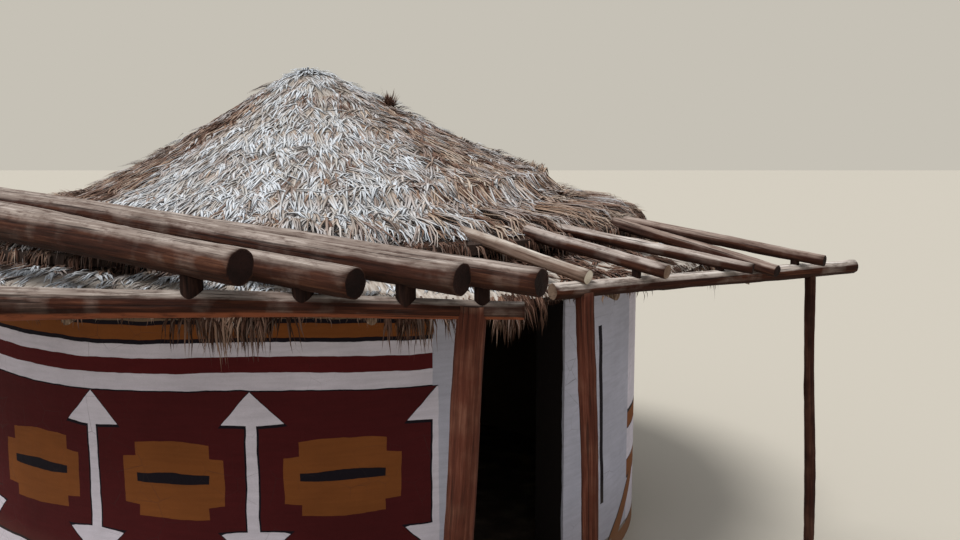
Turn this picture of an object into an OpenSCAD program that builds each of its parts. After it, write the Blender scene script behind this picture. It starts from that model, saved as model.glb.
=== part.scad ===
// Round thatched hut with painted earth walls and a veranda of bare logs.
// Plan angles are counted from the front (-Y) towards the right (+X).
// The origin is on the ground at the hut's own axis, and Z points up.

/* [Wall] */
// Outer radius of the round earth wall
wall_r = 2080; // [1700:10:2400]
// Thickness of the wall
wall_t = 220; // [160:5:300]
// Height of the wall's top above the ground
wall_h = 1685; // [1650:5:1900]
// Thickness of the beaten floor
floor_t = 60; // [30:5:120]

/* [Doorway] */
// Plan angle of the doorway's middle
door_at = 38; // [30:1:45]
// Clear width between the jambs
door_w = 670; // [550:5:800]
// Height of the lintel's underside
door_h = 1520; // [1400:5:1560]
// Height of the threshold
sill_h = 90; // [60:5:160]
// Diameter of the two lintel poles
lintel_d = 85; // [60:1:100]
// Length of lintel that bears on each jamb
lintel_bearing = 120; // [80:5:160]

/* [Roof frame] */
// Slope of the rafters in degrees
roof_pitch = 15; // [13:0.1:17]
// Number of rafters
rafter_count = 24; // [16:4:32]
// Diameter of a rafter
rafter_d = 44; // [36:1:60]
// Radius that the rafters' tails reach
rafter_reach = 2750; // [2600:10:2900]
// Radius that the tails reach over the front, where the skirt hides them
front_reach = 2470; // [2440:5:2500]
// Diameter of the wall plate, a bound hoop of saplings
plate_d = 80; // [60:1:100]
// Radius of the crown hoop under the rafters' heads
crown_r = 230; // [200:5:300]
// Diameter of the crown hoop's pole
crown_d = 56; // [40:1:70]
// Diameter of a batten hoop
batten_d = 20; // [14:1:26]
// Distance from one batten hoop to the next, in plan
batten_pitch = 330; // [250:5:400]

/* [Thatch] */
// Height of the thatch's peak
thatch_top = 2800; // [2700:5:2950]
// Radius of the upper thatch at its eave
eave_r = 2100; // [2000:5:2200]
// Height of the upper thatch's outer face at its eave
eave_z = 1862; // [1850:1:1900]
// Thickness of the straw ends at the upper eave
eave_t = 50; // [30:1:70]
// Radius of the lower skirt's edge
skirt_r = 2500; // [2400:5:2540]
// Thickness of the lower skirt
skirt_t = 45; // [30:1:70]
// Lean of the upper courses towards the left, in degrees
thatch_lean = 2.7; // [0:0.1:3.5]

/* [Veranda beams and posts] */
// Distance of the front beam in front of the hut's axis
front_beam_y = 2710; // [2650:5:2900]
// Height of the front beam's middle at its right end
front_beam_z = 1722; // [1680:1:1760]
// Rise of the front beam from its right end to its left end
front_beam_rise = 40; // [0:1:80]
// Diameter of the front beam at its thin right end
front_beam_d = 72; // [60:1:100]
// Diameter of the front beam at its thick left end
front_beam_butt = 150; // [110:1:160]
// Height of the right beam's middle
right_beam_z = 1710; // [1700:1:1760]
// Diameter of the right beam
right_beam_d = 75; // [60:1:90]
// Distance of the left beam to the left of the hut's axis
left_beam_x = 2850; // [2830:5:3000]
// Height of the left beam's middle at its near end
left_beam_z = 1990; // [1950:1:2050]
// Diameter of the left beam
left_beam_d = 100; // [80:1:120]
// Diameter of the stout front post
stout_post_d = 118; // [100:1:130]
// Diameter of the other front and left posts
post_d = 92; // [80:1:96]
// Diameter of the near post of the right beam
right_post_d = 84; // [80:1:95]
// Diameter of the slim far post of the right beam
slim_post_d = 52; // [45:1:60]

/* [Veranda logs] */
// Length of a long log in front of the front beam
long_overhang = 260; // [150:5:350]
// Plan angle of the long logs, from the left to the back
long_angle = 32; // [28:1:36]
// Length of a short log in front of the right beam
short_overhang = 160; // [80:5:220]
// Width of the widest packing block under a long log
packer_w = 88; // [70:1:92]
// Width of a packing block under a short log
short_packer_w = 44; // [36:1:52]
// Depth by which a log is notched over a beam
notch = 8; // [4:1:12]

/* [Hidden] */
$fn = 48;
// Finer steps for the wide round forms
round_fn = 240;

eps = 1;
big = 4000;

// A point at a radius and a plan angle
function at(r, angle, z = 0) = [r * sin(angle), -r * cos(angle), z];
// A point a share of the way from a to b
function along(a, b, share) = a + (b - a) * share;

wall_in = wall_r - wall_t;
wall_parts = 7;
door_half_angle = asin(door_w / 2 / wall_r);
part_angle = (360 - 2 * door_half_angle) / wall_parts;

// The plate lies in a groove in the wall's top, and the rafters are notched over it.
plate_r = wall_r - wall_t / 2;
plate_bed = 25;
plate_z = wall_h + plate_d / 2 - plate_bed;
rafter_notch = 6;
slope = tan(roof_pitch);
rafter_z0 = plate_z + (plate_d / 2 + rafter_d / 2 - rafter_notch) / cos(roof_pitch) + plate_r * slope;
function rafter_z(r) = rafter_z0 - r * slope;
rafter_head = 190;
// Plan angles between which the rafters stop under the skirt
front_from = -62;
front_to = 65;
function reach_at(angle) =
    angle < front_to || angle > 360 + front_from ? front_reach : rafter_reach;
crown_z = rafter_z(crown_r) - (crown_d / 2 + rafter_d / 2 - rafter_notch) / cos(roof_pitch);
batten_bite = 4;
batten_up = (rafter_d / 2 + batten_d / 2 - batten_bite) / cos(roof_pitch);
first_batten_r = 420;
last_batten_in = 60;
last_batten_r = skirt_r - last_batten_in;
batten_radii = [for (r = [first_batten_r:batten_pitch:last_batten_r]) r];
// The thatch beds on the battens and takes them in by a little.
thatch_bed = 4;
function under_z(r) = rafter_z(r) + (rafter_d / 2 + batten_d - batten_bite - thatch_bed) / cos(roof_pitch);

// Radii where one course gives way to the next
cap_r = 640;
upper_r = 1330;
lap = 150;
// The outer face is steep over the peak and flattens towards the eave.
peak_r = 160;
peak_drop = 55;
knee_r = 1900;
knee_rise = 31;
knee_z = eave_z + knee_rise;
cap_slope = 0.5;
middle_r = 1250;
middle_rise = 272;
middle_z = knee_z + middle_rise;
function outer_z(r) = lookup(r, [
    [0, thatch_top], [peak_r, thatch_top - peak_drop],
    [cap_r, middle_z + (middle_r - cap_r) * cap_slope],
    [middle_r, middle_z], [knee_r, knee_z], [eave_r, eave_z]
]);
// Step by which a course stands proud of the one that it laps over
lap_step = 20;
eave_lean_share = 0.37;
eave_lean = thatch_lean * eave_lean_share;
// Plan angles of the places where a course's ring was closed
eave_seam = 99;
upper_seam = 120;
cap_seam = 141;
// How far the skirt runs in under the upper eave
skirt_tuck = 260;
skirt_in = eave_r - skirt_tuck;
skirt_lip = 40;

// Front beam
front_left = [-1400, -front_beam_y, front_beam_z + front_beam_rise];
front_right = [1260, -front_beam_y, front_beam_z];
function front_at(x) = along(front_left, front_right, (x - front_left[0]) / (front_right[0] - front_left[0]));
function front_d_at(x) = front_beam_butt
    + (front_beam_d - front_beam_butt) * (x - front_left[0]) / (front_right[0] - front_left[0]);

stout_post_x = 1060;
left_post_x = -1250;
// Shift of each post's foot to the right of its head
stout_foot = -110;
left_foot = -40;
// The stout post's head forks up beside the beam; the others end in a saddle under it.
fork_rise = 15;
saddle = 0.2;

// Right beam
right_start = [1406, -2158, right_beam_z];
right_end = [3040, -1280, right_beam_z];
right_length = norm(right_end - right_start);
function right_at(distance) = along(right_start, right_end, distance / right_length);
near_post_place = 171;
near_foot = 63;
far_post_place = 1550;
far_foot = 60;

// Left beam
left_beam_rise = 90;
left_beam_from = -1500;
left_beam_to = 0;
left_near = [-left_beam_x, left_beam_from, left_beam_z];
left_far = [-left_beam_x, left_beam_to, left_beam_z + left_beam_rise];
function left_at(y) = along(left_near, left_far, (y - left_near[1]) / (left_far[1] - left_near[1]));
left_near_post_y = -1350;
left_near_foot = 25;
left_far_post_y = -150;
left_far_foot = -30;

// Long logs from the right: place along the front beam, both diameters, the packing under each
// and its block's share of the widest one
long_x = [1098, 805, 410, -16];
long_near_d = [113, 124, 124, 146];
long_far_d = [108, 118, 128, 165];
long_pack = [46, 46, 20, 56];
long_pack_share = [0.7, 0.9, 0.95, 1];
long_tail = 220;

// Short logs from the left: place along the right beam, diameter, packing under each,
// and the far end's plan place
short_place = [150, 455, 950, 1130, 1440];
short_d = [70, 68, 56, 60, 58];
short_pack = [0, 26, 10, 0, 14];
short_far_r = [1960, 2040, 2000, 2085, 2100];
short_far_angle = [30.8, 40.3, 47.2, 61, 64.3];
first_over = 40;
last_over_less = 10;
short_over = [first_over, short_overhang, short_overhang, short_overhang, short_overhang - last_over_less];

module pole(a, b, d1, d2) {
    run = b - a;
    length = norm(run);
    translate(a)
        rotate([0, acos(run[2] / length), atan2(run[1], run[0])])
            cylinder(h = length, d1 = d1, d2 = d2);
}

module hoop(r, z, d) {
    translate([0, 0, z]) rotate_extrude($fn = round_fn) translate([r, 0]) circle(d = d, $fn = 32);
}

// Wall

module wall_ring(z0, z1) {
    translate([0, 0, z0]) rotate_extrude($fn = round_fn) translate([wall_in, 0]) square([wall_t, z1 - z0]);
}

module doorway(z0, z1) {
    rotate([0, 0, door_at])
        translate([-door_w / 2, -wall_r - eps, z0])
            cube([door_w, wall_t * 2, z1 - z0]);
}

module plate_hoop() {
    hoop(plate_r, plate_z, plate_d);
}

// How much is hewn off where the lintel's two poles meet
lintel_hewn = 4;
lintel_gap = lintel_d - lintel_hewn;
lintel_r = wall_in + lintel_d / 2;
lintel_z = door_h + lintel_d / 2;
lintel_half = door_w / 2 + lintel_bearing;

// Two poles side by side, hewn flat where they meet
module lintel_pole(r, side) {
    rotate([0, 0, door_at]) intersection() {
        pole([-lintel_half, -r, lintel_z], [lintel_half, -r, lintel_z], lintel_d, lintel_d);
        translate([-big / 2, side > 0 ? -lintel_r - lintel_gap / 2 - big : -lintel_r - lintel_gap / 2, 0])
            cube([big, big, big]);
    }
}

module lintel_poles() {
    lintel_pole(lintel_r, -1);
    lintel_pole(lintel_r + lintel_gap, 1);
}

module wall_arc(from, to) {
    rotate([0, 0, from - 90])
        rotate_extrude(angle = to - from, $fn = round_fn) translate([wall_in, 0]) square([wall_t, wall_h]);
}

door_right = door_at + door_half_angle;

// Parts are numbered from the doorway's right side round the back to its left side.
module wall_part(number, by_door = false) {
    start = door_right + part_angle * number;
    reach = by_door ? door_half_angle : 0;
    color("#cfc8bd") difference() {
        wall_arc(number == 0 ? start - reach : start, number == 0 ? start + part_angle : start + part_angle + reach);
        plate_hoop();
        if (by_door) {
            doorway(-eps, wall_h + eps);
            lintel_poles();
        }
    }
}

module wall_right_of_door() { wall_part(0, true); }
module wall_right_rear() { wall_part(1); }
module wall_rear() { wall_part(2); }
module wall_rear_left() { wall_part(3); }
module wall_left() { wall_part(4); }
module wall_front_left() { wall_part(5); }
module wall_front() { wall_part(6, true); }

lintel_seat = 12;

module wall_over_door() {
    color("#cfc8bd") difference() {
        intersection() {
            wall_ring(door_h + lintel_d - lintel_seat, wall_h);
            doorway(door_h, wall_h);
        }
        lintel_poles();
        plate_hoop();
    }
}

module lintel() {
    color("#6b4a34") lintel_poles();
}

module threshold() {
    color("#8f8172") intersection() {
        wall_ring(0, sill_h);
        doorway(0, sill_h);
    }
}

module floor() {
    color("#7d6e5d") cylinder(r = wall_in, h = floor_t, $fn = round_fn);
}

// Roof frame

module wall_plate() {
    color("#6b4a34") plate_hoop();
}

module crown_hoop() {
    color("#6b4a34") hoop(crown_r, crown_z, crown_d);
}

module rafter_pole(reach) {
    pole(at(rafter_head, 0, rafter_z(rafter_head)), at(reach, 0, rafter_z(reach)), rafter_d, rafter_d);
}

module rafters() {
    color("#7a5238")
        for (angle = [0:360 / rafter_count:359])
            rotate([0, 0, angle]) difference() {
                rafter_pole(reach_at(angle));
                plate_hoop();
                crown_hoop();
            }
}

module battens() {
    color("#8a6a4a") difference() {
        batten_hoops();
        for (angle = [0:360 / rafter_count:359]) rotate([0, 0, angle]) rafter_pole(reach_at(angle));
    }
}

// Thatch

// The underside of the thatch, laid over the battens, from the axis out to a radius
module roof_bed(r) {
    difference() {
        rotate_extrude($fn = round_fn)
            polygon([[0, under_z(0)], [r, under_z(r)], [r, thatch_top], [0, thatch_top]]);
        batten_hoops();
    }
}

module batten_hoops() {
    for (r = batten_radii) hoop(r, rafter_z(r) + batten_up, batten_d);
}

// A round form under the outer face: its thin upper end runs under the course above,
// which stops at lap_r, and its lower edge stands at edge_r. The seam is a plan angle.
module course(in_r, lap_r, edge_r, butt, lean, seam) {
    knees = [for (r = [peak_r, cap_r, middle_r, knee_r]) if (r > lap_r && r < edge_r) [r, outer_z(r)]];
    head = lap_r > 0
        ? [[in_r, under_z(in_r)], [lap_r, outer_z(lap_r) - lap_step]]
        : [[0, thatch_top]];
    tail = [[edge_r, outer_z(edge_r)], [edge_r, outer_z(edge_r) - butt], [in_r, under_z(in_r) - 2 * lap]];
    translate([0, 0, thatch_top]) rotate([0, -lean, 0]) translate([0, 0, -thatch_top])
        rotate([0, 0, seam - 90]) rotate_extrude($fn = round_fn) polygon(concat(head, knees, tail));
}

module eave_form() { course(upper_r, upper_r + lap, eave_r, eave_t, eave_lean, eave_seam); }
module upper_form() { course(cap_r, cap_r + lap, upper_r + lap, lap, thatch_lean, upper_seam); }
module cap_form() { course(0, 0, cap_r + lap, lap, thatch_lean, cap_seam); }

module thatch_eave_course() {
    color("#b7a98f") difference() {
        intersection() {
            eave_form();
            roof_bed(eave_r + lap);
        }
        for (i = [0:4]) short_log_pole(i);
    }
}

module thatch_upper_course() {
    color("#b7a98f") difference() {
        intersection() {
            upper_form();
            roof_bed(eave_r);
        }
        eave_form();
    }
}

module thatch_cap() {
    color("#c3b69b") difference() {
        intersection() {
            cap_form();
            roof_bed(eave_r);
        }
        upper_form();
    }
}

module thatch_skirt() {
    color("#a8987c") difference() {
        rotate_extrude($fn = round_fn) polygon([
            [skirt_in, under_z(skirt_in)],
            [eave_r - skirt_lip, under_z(eave_r - skirt_lip) + skirt_t / 2],
            [skirt_r - skirt_lip, under_z(skirt_r - skirt_lip) + skirt_t],
            [skirt_r, under_z(skirt_r) + skirt_t / 2], [skirt_r, under_z(skirt_r)]
        ]);
        batten_hoops();
    }
}

// Veranda

module front_beam() {
    color("#7b6355") pole(front_left, front_right, front_beam_butt, front_beam_d);
}

module right_beam() {
    color("#7b6355") pole(right_start, right_end, right_beam_d, right_beam_d);
}

module left_beam() {
    color("#7b6355") pole(left_near, left_far, left_beam_d, left_beam_d);
}

// A post from the ground to a beam's middle plus a rise, with the beam let into its head
module post(head, foot_shift, d, rise) {
    foot = [head[0] + foot_shift, head[1], 0];
    run = (head - foot) / norm(head - foot);
    color("#7a4a36") difference() {
        intersection() {
            pole(foot - run * d, head + run * rise, d, d);
            translate([-big, -big, 0]) cube([2 * big, 2 * big, big]);
        }
        children();
    }
}

module front_post_right() { post(front_at(stout_post_x), stout_foot, stout_post_d, fork_rise) front_beam(); }
module front_post_left() {
    post(front_at(left_post_x), left_foot, stout_post_d, -saddle * front_d_at(left_post_x)) front_beam();
}
module right_post_near() {
    post(right_at(near_post_place), near_foot, right_post_d, -saddle * right_beam_d) right_beam();
}
module right_post_far() {
    post(right_at(far_post_place), far_foot, slim_post_d, -saddle * right_beam_d) right_beam();
}
module left_post_near() {
    post(left_at(left_near_post_y), left_near_foot, post_d, -saddle * left_beam_d) left_beam();
}
module left_post_far() {
    post(left_at(left_far_post_y), left_far_foot, post_d, -saddle * left_beam_d) left_beam();
}

long_dir = [-cos(long_angle), sin(long_angle), 0];

// Middle of long log i where it crosses the front beam
function long_cross(i) = front_at(long_x[i])
    + [0, 0, front_d_at(long_x[i]) / 2 + long_pack[i] + long_near_d[i] / 2];
function long_run(i) = (left_beam_x + long_x[i]) / cos(long_angle);
// Middle of long log i where it crosses the left beam
function long_far(i) =
    let (plan = long_cross(i) + long_dir * long_run(i))
    [plan[0], plan[1], left_at(plan[1])[2] + (left_beam_d + long_far_d[i]) / 2 - notch];
function long_near_end(i) = let (d = long_far(i) - long_cross(i)) long_cross(i) - d * (long_overhang / norm(d));
function long_far_end(i) = let (d = long_far(i) - long_cross(i)) long_far(i) + d * (long_tail / norm(d));

module long_log_pole(i) {
    pole(long_near_end(i), long_far_end(i), long_near_d[i], long_far_d[i]);
}

module long_log(i) {
    color("#8c7365") difference() {
        long_log_pole(i);
        left_beam();
    }
}

module long_log_1() { long_log(0); }
module long_log_2() { long_log(1); }
module long_log_3() { long_log(2); }
module long_log_4() { long_log(3); }

// A block from a beam's middle up to a log's middle, with both cut out of it
module packing_block(below, above, width) {
    difference() {
        translate(below) cylinder(d = width, h = above[2] - below[2]);
        children();
    }
}

module packing_blocks() {
    color("#4a3227") {
        for (i = [0:3]) packing_block(front_at(long_x[i]), long_cross(i), packer_w * long_pack_share[i]) {
            front_beam();
            long_log_pole(i);
        }
        for (i = [0:4]) if (short_pack[i] > 0) {
            packing_block(right_at(short_place[i]), short_cross(i), short_packer_w) {
                right_beam();
                short_log_pole(i);
            }
        }
    }
}

// Middle of short log i where it crosses the right beam: on its block, or notched over the beam
function short_cross(i) = right_at(short_place[i])
    + [0, 0, (right_beam_d + short_d[i]) / 2 + (short_pack[i] > 0 ? short_pack[i] : -notch)];
// The far end is pressed into the thatch's eave, which leans a little.
press = 12;
function short_far(i) =
    let (plan = at(short_far_r[i], short_far_angle[i]))
    plan + [0, 0, outer_z(short_far_r[i]) + plan[0] * sin(eave_lean) + short_d[i] / 2 - press];
function short_near_end(i) = let (d = short_far(i) - short_cross(i)) short_cross(i) - d * (short_over[i] / norm(d));

module short_log_pole(i) {
    pole(short_near_end(i), short_far(i), short_d[i], short_d[i]);
}

module short_log(i) {
    color("#8c7365") difference() {
        short_log_pole(i);
        right_beam();
    }
}

module short_log_1() { short_log(0); }
module short_log_2() { short_log(1); }
module short_log_3() { short_log(2); }
module short_log_4() { short_log(3); }
module short_log_5() { short_log(4); }

floor();
wall_front();
wall_right_of_door();
wall_right_rear();
wall_rear();
wall_rear_left();
wall_left();
wall_front_left();
wall_over_door();
lintel();
threshold();
wall_plate();
rafters();
crown_hoop();
battens();
thatch_cap();
thatch_upper_course();
thatch_eave_course();
thatch_skirt();
front_beam();
right_beam();
left_beam();
front_post_right();
front_post_left();
right_post_near();
right_post_far();
left_post_near();
left_post_far();
long_log_1();
long_log_2();
long_log_3();
long_log_4();
short_log_1();
short_log_2();
short_log_3();
short_log_4();
short_log_5();
packing_blocks();
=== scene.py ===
# Round thatched hut with painted earth walls and a veranda of bare logs.
import math
import bmesh
import bpy
import numpy as np
from mathutils import Matrix, Vector, noise
from mathutils.bvhtree import BVHTree


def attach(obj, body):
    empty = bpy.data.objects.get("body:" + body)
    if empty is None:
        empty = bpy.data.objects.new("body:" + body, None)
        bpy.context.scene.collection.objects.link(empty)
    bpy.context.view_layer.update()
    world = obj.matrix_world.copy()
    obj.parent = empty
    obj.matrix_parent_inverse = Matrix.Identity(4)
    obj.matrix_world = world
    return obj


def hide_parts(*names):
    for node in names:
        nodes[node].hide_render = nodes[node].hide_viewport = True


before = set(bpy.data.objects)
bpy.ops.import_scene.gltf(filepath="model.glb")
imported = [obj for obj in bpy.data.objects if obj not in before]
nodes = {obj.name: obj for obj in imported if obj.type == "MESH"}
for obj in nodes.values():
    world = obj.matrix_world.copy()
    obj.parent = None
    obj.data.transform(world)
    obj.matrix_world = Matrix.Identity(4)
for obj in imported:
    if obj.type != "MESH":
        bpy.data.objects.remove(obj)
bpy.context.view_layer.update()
scene = bpy.context.scene
print("frame loaded with", len(nodes), "nodes")


def linear(hexColour):
    values = [int(hexColour[i:i + 2], 16) / 255 for i in (1, 3, 5)]
    return [v / 12.92 if v <= 0.04045 else ((v + 0.055) / 1.055) ** 2.4 for v in values] + [1.0]


def addNode(tree, kind, inputs=None, stops=None, **settings):
    node = tree.nodes.new(kind)
    for name, value in settings.items():
        setattr(node, name, value)
    for name, value in (inputs or {}).items():
        if isinstance(value, bpy.types.Node):  # a node stands for its first output
            value = value.outputs[0]
        if isinstance(value, bpy.types.NodeSocket):
            tree.links.new(value, node.inputs[name])
        else:
            node.inputs[name].default_value = value
    if stops:  # a ramp's stops, each a place and a hex colour or a grey value
        ramp = node.color_ramp
        while len(ramp.elements) < len(stops):
            ramp.elements.new(0.5)
        for element, (place, tint) in zip(ramp.elements, stops):
            element.position = place
            element.color = linear(tint) if isinstance(tint, str) else (tint, tint, tint, 1.0)
    return node


def startMaterial(name, constants):
    material = bpy.data.materials.new(name)
    material.use_nodes = True
    tree = material.node_tree
    tree.nodes.clear()
    shader = addNode(tree, "ShaderNodeBsdfPrincipled", constants)
    addNode(tree, "ShaderNodeOutputMaterial", {"Surface": shader})
    return material, tree, shader


def finishMaterial(tree, shader, colour, relief, strength, depth):
    bump = addNode(tree, "ShaderNodeBump", {"Height": relief, "Strength": strength, "Distance": depth})
    tree.links.new(colour, shader.inputs["Base Color"])
    tree.links.new(bump.outputs[0], shader.inputs["Normal"])


def addPiece(name, mesh, material, slotName, *stands):
    mesh.materials.append(material)
    piece = bpy.data.objects.new(name, mesh)
    scene.collection.objects.link(piece)
    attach(piece, "root")
    if stands:
        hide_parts(*stands)


def dress(material, *names):
    for name in names:
        mesh = nodes[name].data
        mesh.materials.clear()
        mesh.materials.append(material)


# Camera at the photograph's angle
cameraSettings = {"place": (1.09, -6.61, 2.4), "pitchDown": 7.6, "lens": 38.55, "sensor": 36.0}
cameraData = bpy.data.cameras.new("camera")
cameraData.lens = cameraSettings["lens"]
cameraData.sensor_width = cameraSettings["sensor"]
camera = bpy.data.objects.new("camera", cameraData)
camera.location = cameraSettings["place"]
camera.rotation_euler = (math.radians(90 - cameraSettings["pitchDown"]), 0, 0)
scene.collection.objects.link(camera)
scene.camera = camera

# Soft studio light: a wide sun from the upper left and an even pale sky
lightSettings = {"sun": 2.7, "sunAngle": 26, "sunFrom": (-0.36, -0.24, 1.0), "sky": 0.58,
                 "skyTint": "#eef1f6", "backdrop": "#c6c1b6", "floor": "#bdb6a8", "floorSize": 60,
                 "floorDrop": 0.001}
sunData = bpy.data.lights.new("sun", "SUN")
sunData.energy = lightSettings["sun"]
sunData.angle = math.radians(lightSettings["sunAngle"])
sun = bpy.data.objects.new("sun", sunData)
sun.rotation_euler = Vector(lightSettings["sunFrom"]).to_track_quat("Z", "Y").to_euler()
scene.collection.objects.link(sun)

world = bpy.data.worlds.new("studio")
world.use_nodes = True
scene.world = world
sky = world.node_tree
sky.nodes.clear()
rays = addNode(sky, "ShaderNodeLightPath").outputs
seen = addNode(sky, "ShaderNodeMath", {0: rays["Is Camera Ray"], 1: rays["Is Glossy Ray"]},
               operation="MAXIMUM")
lamp = addNode(sky, "ShaderNodeBackground", {"Color": linear(lightSettings["skyTint"]),
                                             "Strength": lightSettings["sky"]})
backdrop = addNode(sky, "ShaderNodeBackground", {"Color": linear(lightSettings["backdrop"]), "Strength": 1.0})
both = addNode(sky, "ShaderNodeMixShader", {0: seen, 1: lamp, 2: backdrop})
addNode(sky, "ShaderNodeOutputWorld", {"Surface": both})

floorBm = bmesh.new()
bmesh.ops.create_grid(floorBm, x_segments=1, y_segments=1, size=lightSettings["floorSize"])
floorMesh = bpy.data.meshes.new("studio_floor")
floorBm.to_mesh(floorMesh)
floorBm.free()
floorMaterial = startMaterial("studio floor", {"Base Color": linear(lightSettings["floor"]),
                                               "Roughness": 0.95})[0]
floorMesh.materials.append(floorMaterial)
studioFloor = bpy.data.objects.new("studio_floor", floorMesh)
studioFloor.location = (0, 0, -lightSettings["floorDrop"])
scene.collection.objects.link(studioFloor)
print("camera, light and floor set")

view = scene.view_settings
view.view_transform = "Standard"

# Painted earth wall: limewash and earth colours brushed by hand on smeared clay.
# It gives flat bands with slightly wavering edges, faint cracks and a chalky, matt skin.
# Lengths are in metres, and angles in degrees from the front towards the right.
mural = {
    # The plain panel right of the doorway has its limewash painted darker as shade.
    "white": "#cfc8d2", "panelShadedWhite": "#b0afbc", "maroon": "#471214", "darkRed": "#511517",
    "ochre": "#7a4620", "black": "#150f18", "clay": "#6d5b4b", "plinth": "#7d7670", "reveal": "#171110",
    "shadedClay": "#4d3f33", "crack": "#3a302d", "dust": "#8d7a66",
    "wallRadius": 2.08, "paintDepth": 0.09, "revealDepth": 0.016, "doorAngles": (26.0, 50.0),
    "height": 1.7, "waver": 0.024, "sag": 0.012, "sagAt": 3.0, "sagTurns": 7.5, "sharp": 0.0002,
    "cells": 16, "firstArrow": 7, "arrowAngles": (-20.2, 1.3, 25.35), "cornerCell": 11,
    "blockSway": 0.046, "blockMiddle": -0.023, "blockDrop": -0.010,
    "panel": (24.7, 70.5), "corner": (70.5, 80.0), "panelTop": 1.245, "panelInset": 0.8,
    "slantLean": -39.8, "slantEdge": (56.9, 61.6), "slantLine": (56.3, 56.95), "slantHeights": (0.105, 0.40),
    "footBlock": (62.5, 70.5), "footHeights": (0.02, 0.105),
    "lineLean": 1.5, "thinLine": (58.35, 59.45), "lineHeights": (0.35, 1.37),
}
# Half widths, as shares of a cell, that each painted shape has at each height
shapes = {
    "outline": [(0.400, 0), (0.580, 0.215), (0.5802, 0.044), (1.0728, 0.040), (1.073, 0.196), (1.246, 0)],
    "arrow": [(0.415, 0), (0.5710, 0.198), (0.5714, 0.035), (1.0838, 0.028), (1.0842, 0.180), (1.240, 0)],
    "block": [(0.636, 0.222), (0.695, 0.222), (0.6952, 0.313), (0.918, 0.313), (0.9182, 0.231),
              (0.996, 0.231)],
    "slot": [(0.802, 0.228), (0.845, 0.228)],
}
# Heights at which each band starts: round the wall, at the corner motif and on the plain panel
bandSets = {
    "around": [(0.0, "plinth"), (0.185, "black"), (0.20, "ochre"), (0.29, "black"), (0.305, "white"),
               (0.402, "black"), (0.415, "maroon"), (1.238, "black"), (1.248, "white"), (1.326, "darkRed"),
               (1.397, "white"), (1.466, "black"), (1.482, "ochre"), (1.552, "black"), (1.570, "clay")],
    "corner": [(0.0, "plinth"), (0.02, "ochre"), (0.105, "black"), (0.115, "white"), (0.376, "black"),
               (0.386, "ochre"), (0.486, "black"), (0.496, "white"), (0.680, "black"), (0.690, "ochre"),
               (0.780, "black"), (0.800, "white"), (1.577, "clay")],
    "panel": [(0.0, "plinth"), (0.12, "panelShadedWhite"), (1.60, "clay")],
}
wallMaterial, tree, shader = startMaterial("limewash on earth plaster",
                                           {"Roughness": 0.93, "Specular IOR Level": 0.2})
place = addNode(tree, "ShaderNodeTexCoord").outputs["Object"]
roughEdge = addNode(tree, "ShaderNodeTexNoise", {"Vector": place, "Scale": 5.0, "Detail": 3.0})
edgeShift = addNode(tree, "ShaderNodeVectorMath", {0: roughEdge.outputs["Color"], 1: (0.5, 0.5, 0.5)},
                    operation="SUBTRACT")
edgeShift = addNode(tree, "ShaderNodeVectorMath", {0: edgeShift, "Scale": mural["waver"]}, operation="SCALE")
painted = addNode(tree, "ShaderNodeVectorMath", {0: place, 1: edgeShift}, operation="ADD")
across, inwards, plainHeight = addNode(tree, "ShaderNodeSeparateXYZ", {0: painted}).outputs
turnedY = addNode(tree, "ShaderNodeMath", {0: inwards, 1: -1.0}, operation="MULTIPLY")
planAngle = addNode(tree, "ShaderNodeMath", {0: across, 1: turnedY}, operation="ARCTAN2")
degrees = addNode(tree, "ShaderNodeMath", {0: planAngle, 1: 180 / math.pi}, operation="MULTIPLY")
roundShare = addNode(tree, "ShaderNodeMath", {0: degrees, 1: 1 / 360, 2: 0.5}, operation="MULTIPLY_ADD")
plan = addNode(tree, "ShaderNodeCombineXYZ", {0: across, 1: inwards})
radius = addNode(tree, "ShaderNodeVectorMath", {0: plan}, operation="LENGTH").outputs["Value"]
# The level bands arch a little, as lines drawn by eye on a round wall do.
sagStep = mural["sagTurns"] * math.pi / 180
sagTurn = addNode(tree, "ShaderNodeMath", {0: degrees, 1: sagStep, 2: -mural["sagAt"] * sagStep},
                  operation="MULTIPLY_ADD")
sagCosine = addNode(tree, "ShaderNodeMath", {0: sagTurn}, operation="COSINE")
sagged = addNode(tree, "ShaderNodeMath", {0: sagCosine, 1: -mural["sag"], 2: plainHeight},
                 operation="MULTIPLY_ADD")
height = addNode(tree, "ShaderNodeMath", {0: sagged, 1: mural["sag"]}, operation="ADD")
level = addNode(tree, "ShaderNodeMath", {0: height, 1: 1 / mural["height"]}, operation="MULTIPLY")

# The painter's cells differ in width, so a curve turns the plan angle into a count of cells.
cellCurve = addNode(tree, "ShaderNodeFloatCurve", {"Value": roundShare})
curve = cellCurve.mapping.curves[0]
curve.points[0].location = (0, 0)
curve.points[1].location = (1, 1)
for i, angle in enumerate(mural["arrowAngles"]):
    curve.points.new(angle / 360 + 0.5, (mural["firstArrow"] + i) / mural["cells"])
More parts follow.
